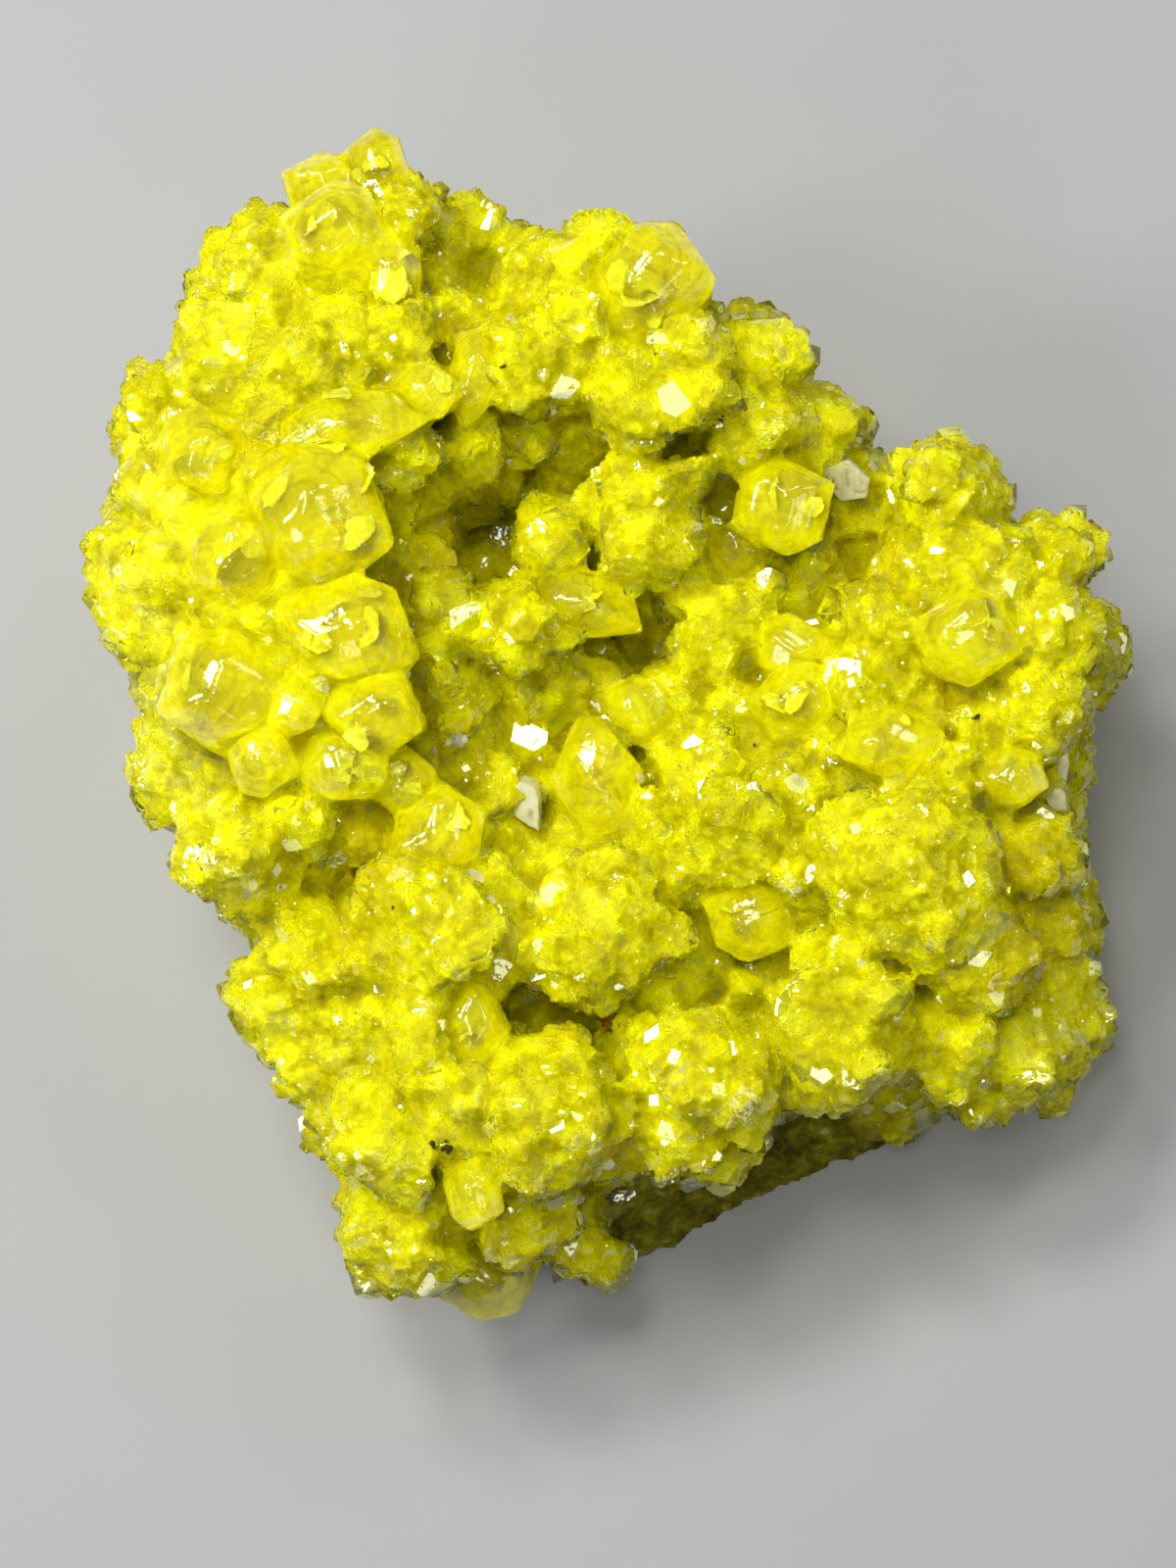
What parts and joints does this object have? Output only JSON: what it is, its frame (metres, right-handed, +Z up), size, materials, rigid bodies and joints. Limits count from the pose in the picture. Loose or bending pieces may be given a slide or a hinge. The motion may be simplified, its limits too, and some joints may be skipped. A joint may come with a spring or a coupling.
{
  "type": "native sulfur crystal specimen",
  "caption": "Loose hand specimen of native sulfur: glassy crystals and sugary lumps round a hollow on a block of massive sulfur, with calcite chips; lies on a flat underside.",
  "frame": {"origin": "middle of the bounding box, on the flat underside that the specimen lies on", "axes": "+Z up; +Y along the longer side of the crystal face, towards its narrow end; +X to the right of the crystal face"},
  "size_m": [0.0968, 0.1078, 0.0559],
  "materials": {
    "sulfur": "resinous, translucent bright yellow",
    "calcite": "pale, translucent, satin"
  },
  "bodies": {
    "root": {"sulfur_cluster": "sulfur", "calcite_chip_white": "calcite", "calcite_plate_upper": "calcite", "calcite_chip_lower": "calcite", "calcite_chip_right": "calcite", "calcite_blade_right": "calcite"}
  },
  "joints": []
}
